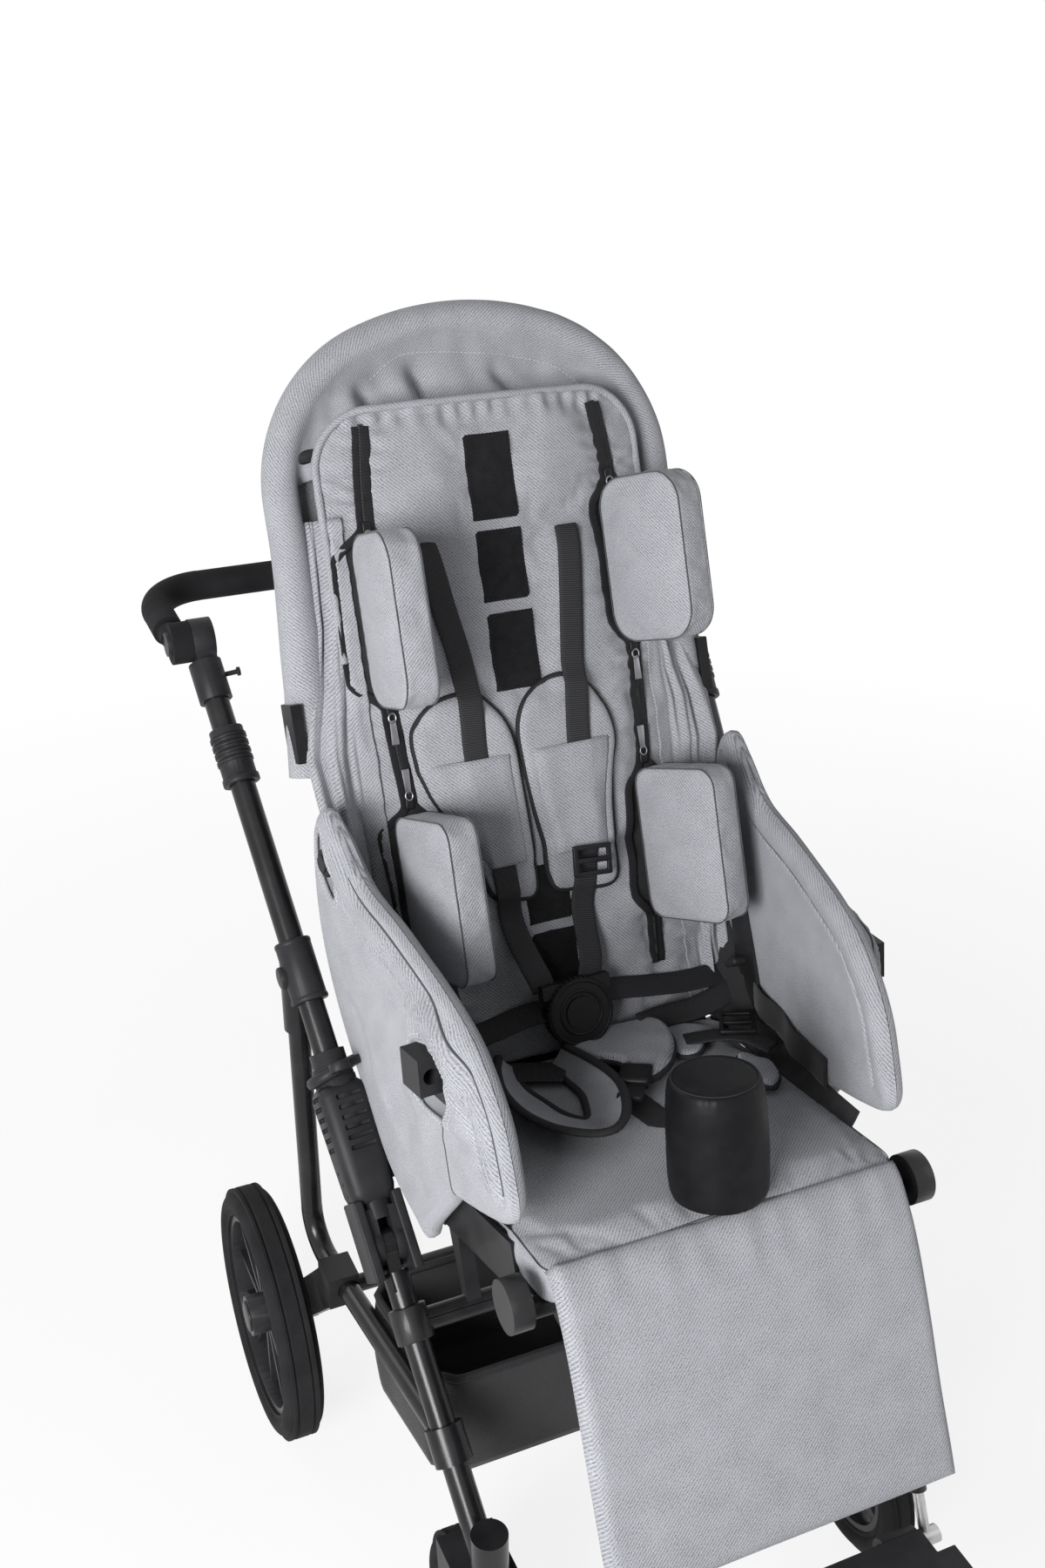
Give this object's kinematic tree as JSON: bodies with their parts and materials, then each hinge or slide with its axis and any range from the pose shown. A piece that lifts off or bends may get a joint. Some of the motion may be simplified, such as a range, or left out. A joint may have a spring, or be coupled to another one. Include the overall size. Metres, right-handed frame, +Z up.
{
  "type": "special needs buggy",
  "caption": "Folding special needs buggy with a lift-off padded seat unit: hoop backrest with head and trunk supports, harness, pommel, side wings, legrest and footplate on a wheeled chassis.",
  "frame": {"origin": "middle of the footprint box on the floor", "axes": "+Z up, -Y the way the seat faces, +X to the child's left"},
  "size_m": [0.63, 1.0323, 1.1919],
  "materials": {
    "frame_black": "gloss black paint",
    "plastic": "satin charcoal",
    "grip": "matte soft grip",
    "tyre": "matte",
    "rim": "satin",
    "tube_inner": "satin black",
    "grey_fabric": "woven melange twill over foam",
    "black_fabric": "woven black",
    "pommel_cover": "smooth faux leather over foam"
  },
  "bodies": {
    "chassis": {"front_leg_right": "frame_black", "front_leg_left": "frame_black", "rear_leg_right": "frame_black", "rear_leg_left": "frame_black", "rear_axle": "frame_black", "seat_cross_tube": "frame_black", "basket": "black_fabric"},
    "brake": {"brake_pedal": "plastic"},
    "rear_wheel_right": {"rear_wheel_right": "rim", "rear_tyre_right": "tyre"},
    "rear_wheel_left": {"rear_wheel_left": "rim", "rear_tyre_left": "tyre"},
    "caster_right": {"caster_fork_right": "plastic"},
    "caster_left": {"caster_fork_left": "plastic"},
    "front_wheel_right": {"front_wheel_right": "rim", "front_tyre_right": "tyre"},
    "front_wheel_left": {"front_wheel_left": "rim", "front_tyre_left": "tyre"},
    "push_frame": {"push_tube_right": "frame_black", "push_tube_left": "frame_black", "fold_housing_right": "plastic", "fold_housing_left": "plastic", "leg_sleeve_right": "plastic", "leg_sleeve_left": "plastic", "handle_socket_right": "plastic", "handle_socket_left": "plastic"},
    "lock_ring_right": {"lock_ring_right": "plastic"},
    "lock_ring_left": {"lock_ring_left": "plastic"},
    "release_slider_right": {"release_slider_right": "plastic"},
    "release_slider_left": {"release_slider_left": "plastic"},
    "handle": {"handle_bar": "grip"},
    "hinge_button_right": {"hinge_button_right": "plastic"},
    "hinge_button_left": {"hinge_button_left": "plastic"},
    "seat": {"seat_frame": "tube_inner", "seat_cushion": "grey_fabric", "wing_right": "grey_fabric", "wing_left": "grey_fabric", "bumper_socket_right": "plastic", "bumper_socket_left": "plastic", "lap_harness": "grey_fabric", "buckle": "plastic"},
    "buckle_button": {"buckle_button": "plastic"},
    "pommel": {"pommel": "pommel_cover"},
    "backrest": {"back_frame": "tube_inner", "back_roll": "grey_fabric", "back_shell": "black_fabric", "back_pad": "grey_fabric", "shoulder_pads": "grey_fabric", "harness_straps": "black_fabric", "canopy_clip_right": "plastic", "canopy_clip_left": "plastic"},
    "head_support_right": {"head_support_right": "grey_fabric"},
    "head_support_left": {"head_support_left": "grey_fabric"},
    "trunk_support_right": {"trunk_support_right": "grey_fabric"},
    "trunk_support_left": {"trunk_support_left": "grey_fabric"},
    "legrest": {"legrest_frame": "tube_inner", "calf_cushion": "grey_fabric"},
    "foot_slider": {"foot_slider": "tube_inner"},
    "footplate": {"footplate": "plastic"}
  },
  "joints": [
    {"name": "rear_wheel_right_spin", "type": "hinge", "parent": "chassis", "child": "rear_wheel_right", "pos_m": [-0.29, 0.212, 0.139], "axis": [1, 0, 0], "continuous": true},
    {"name": "caster_right_swivel", "type": "hinge", "parent": "chassis", "child": "caster_right", "pos_m": [-0.21406, -0.24, 0.19], "axis": [0, 0, 1], "continuous": true},
    {"name": "front_wheel_right_spin", "type": "hinge", "parent": "caster_right", "child": "front_wheel_right", "pos_m": [-0.21406, -0.2, 0.085], "axis": [1, 0, 0], "continuous": true},
    {"name": "rear_wheel_left_spin", "type": "hinge", "parent": "chassis", "child": "rear_wheel_left", "pos_m": [0.29, 0.212, 0.139], "axis": [1, 0, 0], "continuous": true},
    {"name": "caster_left_swivel", "type": "hinge", "parent": "chassis", "child": "caster_left", "pos_m": [0.21406, -0.24, 0.19], "axis": [0, 0, 1], "continuous": true},
    {"name": "front_wheel_left_spin", "type": "hinge", "parent": "caster_left", "child": "front_wheel_left", "pos_m": [0.21406, -0.2, 0.085], "axis": [1, 0, 0], "continuous": true},
    {"name": "brake_press", "type": "hinge", "parent": "chassis", "child": "brake", "pos_m": [0, 0.212, 0.139], "axis": [-1, 0, 0], "range_deg": [0, 15]},
    {"name": "frame_fold", "type": "hinge", "parent": "chassis", "child": "push_frame", "pos_m": [0, -0.0376, 0.4171], "axis": [1, 0, 0], "range_deg": [0, 120]},
    {"name": "seat_lift_off", "type": "slide", "parent": "chassis", "child": "seat", "axis": [0, -0.9397, 0.342], "range_m": [0, 1.4]},
    {"name": "release_slider_right_pull", "type": "slide", "parent": "push_frame", "child": "release_slider_right", "axis": [-0.0595, 0.6639, 0.7454], "range_m": [0, 0.014]},
    {"name": "release_slider_left_pull", "type": "slide", "parent": "push_frame", "child": "release_slider_left", "axis": [0.0595, 0.6639, 0.7454], "range_m": [0, 0.014]},
    {"name": "lock_ring_right_lift", "type": "slide", "parent": "push_frame", "child": "lock_ring_right", "axis": [-0.0595, 0.6639, 0.7454], "range_m": [0, 0.012]},
    {"name": "lock_ring_left_lift", "type": "slide", "parent": "push_frame", "child": "lock_ring_left", "axis": [0.0595, 0.6639, 0.7454], "range_m": [0, 0.012]},
    {"name": "handle_angle", "type": "hinge", "parent": "push_frame", "child": "handle", "pos_m": [0, 0.37138, 0.87629], "axis": [-1, 0, 0], "range_deg": [-25, 35]},
    {"name": "hinge_button_right_press", "type": "slide", "parent": "handle", "child": "hinge_button_right", "axis": [1, 0, 0], "range_m": [0, 0.004], "stiffness_N_per_m": 900, "springref_m": -0.002},
    {"name": "hinge_button_left_press", "type": "slide", "parent": "handle", "child": "hinge_button_left", "axis": [-1, 0, 0], "range_m": [0, 0.004], "stiffness_N_per_m": 900, "springref_m": -0.002},
    {"name": "backrest_recline", "type": "hinge", "parent": "seat", "child": "backrest", "pos_m": [0, 0.06869, 0.47858], "axis": [-1, 0, 0], "range_deg": [-12, 15]},
    {"name": "head_support_right_height", "type": "slide", "parent": "backrest", "child": "head_support_right", "axis": [0, 0.3371, 0.9415], "range_m": [-0.03, 0.03]},
    {"name": "head_support_left_height", "type": "slide", "parent": "backrest", "child": "head_support_left", "axis": [0, 0.3371, 0.9415], "range_m": [-0.03, 0.03]},
    {"name": "trunk_support_right_height", "type": "slide", "parent": "backrest", "child": "trunk_support_right", "axis": [0, 0.3371, 0.9415], "range_m": [-0.03, 0.03]},
    {"name": "trunk_support_left_height", "type": "slide", "parent": "backrest", "child": "trunk_support_left", "axis": [0, 0.3371, 0.9415], "range_m": [-0.03, 0.03]},
    {"name": "pommel_pull_out", "type": "slide", "parent": "seat", "child": "pommel", "axis": [0, 0.1668, 0.986], "range_m": [0, 0.12]},
    {"name": "buckle_button_press", "type": "slide", "parent": "seat", "child": "buckle_button", "axis": [0, 0.9415, -0.3371], "range_m": [0, 0.0025], "stiffness_N_per_m": 900, "springref_m": -0.002},
    {"name": "legrest_angle", "type": "hinge", "parent": "seat", "child": "legrest", "pos_m": [0, -0.27322, 0.49584], "axis": [-1, 0, 0], "range_deg": [0, 65]},
    {"name": "foot_height", "type": "slide", "parent": "legrest", "child": "foot_slider", "axis": [0, -0.4163, -0.9092], "range_m": [-0.01, 0.06]},
    {"name": "footplate_flip", "type": "hinge", "parent": "foot_slider", "child": "footplate", "pos_m": [0, -0.39144, 0.23762], "axis": [-1, 0, 0], "range_deg": [0, 70]}
  ],
  "couplings": [
    {"joint": "seat_lift_off", "follows": "frame_fold", "m_per_rad": 0.63},
    {"joint": "release_slider_left_pull", "follows": "release_slider_right_pull", "ratio": 1},
    {"joint": "lock_ring_right_lift", "follows": "release_slider_right_pull", "ratio": 0.857},
    {"joint": "lock_ring_left_lift", "follows": "release_slider_right_pull", "ratio": 0.857}
  ]
}
